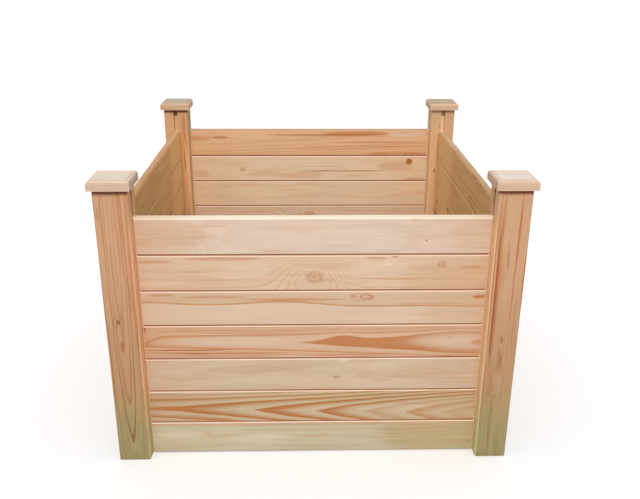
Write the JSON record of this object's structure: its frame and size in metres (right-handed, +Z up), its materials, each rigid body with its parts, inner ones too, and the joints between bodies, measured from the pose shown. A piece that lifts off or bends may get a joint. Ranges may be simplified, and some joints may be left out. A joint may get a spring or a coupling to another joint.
{
  "type": "raised garden bed",
  "caption": "Square bottomless raised garden bed: slotted timber corner posts with caps, and walls of tongue and groove boards that slide down between the posts.",
  "frame": {"origin": "centre of the plan, on the ground under the posts and the lowest boards", "axes": "+Z up; the front wall faces -Y and +X is to the right when facing it"},
  "size_m": [1.028, 1.028, 0.7593],
  "materials": {
    "post_wood": "planed, unfinished",
    "cap_wood": "planed, unfinished",
    "dowel_wood": "turned, unfinished",
    "board_wood": "planed, unfinished"
  },
  "bodies": {
    "bed": {"front_left_post": "post_wood", "front_right_post": "post_wood", "back_right_post": "post_wood", "back_left_post": "post_wood", "front_left_cap": "cap_wood", "front_right_cap": "cap_wood", "back_right_cap": "cap_wood", "back_left_cap": "cap_wood", "cap_dowels": "dowel_wood", "front_board_1": "board_wood", "front_board_2": "board_wood", "front_board_3": "board_wood", "front_board_4": "board_wood", "front_board_5": "board_wood", "front_board_6": "board_wood", "right_board_1": "board_wood", "right_board_2": "board_wood", "right_board_3": "board_wood", "right_board_4": "board_wood", "right_board_5": "board_wood", "right_board_6": "board_wood", "back_board_1": "board_wood", "back_board_2": "board_wood", "back_board_3": "board_wood", "back_board_4": "board_wood", "back_board_5": "board_wood", "back_board_6": "board_wood", "left_board_1": "board_wood", "left_board_2": "board_wood", "left_board_3": "board_wood", "left_board_4": "board_wood", "left_board_5": "board_wood", "left_board_6": "board_wood"},
    "front_top_board": {"front_board_7": "board_wood"},
    "right_top_board": {"right_board_7": "board_wood"},
    "back_top_board": {"back_board_7": "board_wood"},
    "left_top_board": {"left_board_7": "board_wood"}
  },
  "joints": [
    {"name": "front_top_board_lift", "type": "slide", "parent": "bed", "child": "front_top_board", "axis": [0, 0, 1], "range_m": [0, 0.0765]},
    {"name": "right_top_board_lift", "type": "slide", "parent": "bed", "child": "right_top_board", "axis": [0, 0, 1], "range_m": [0, 0.0765]},
    {"name": "back_top_board_lift", "type": "slide", "parent": "bed", "child": "back_top_board", "axis": [0, 0, 1], "range_m": [0, 0.0765]},
    {"name": "left_top_board_lift", "type": "slide", "parent": "bed", "child": "left_top_board", "axis": [0, 0, 1], "range_m": [0, 0.0765]}
  ]
}
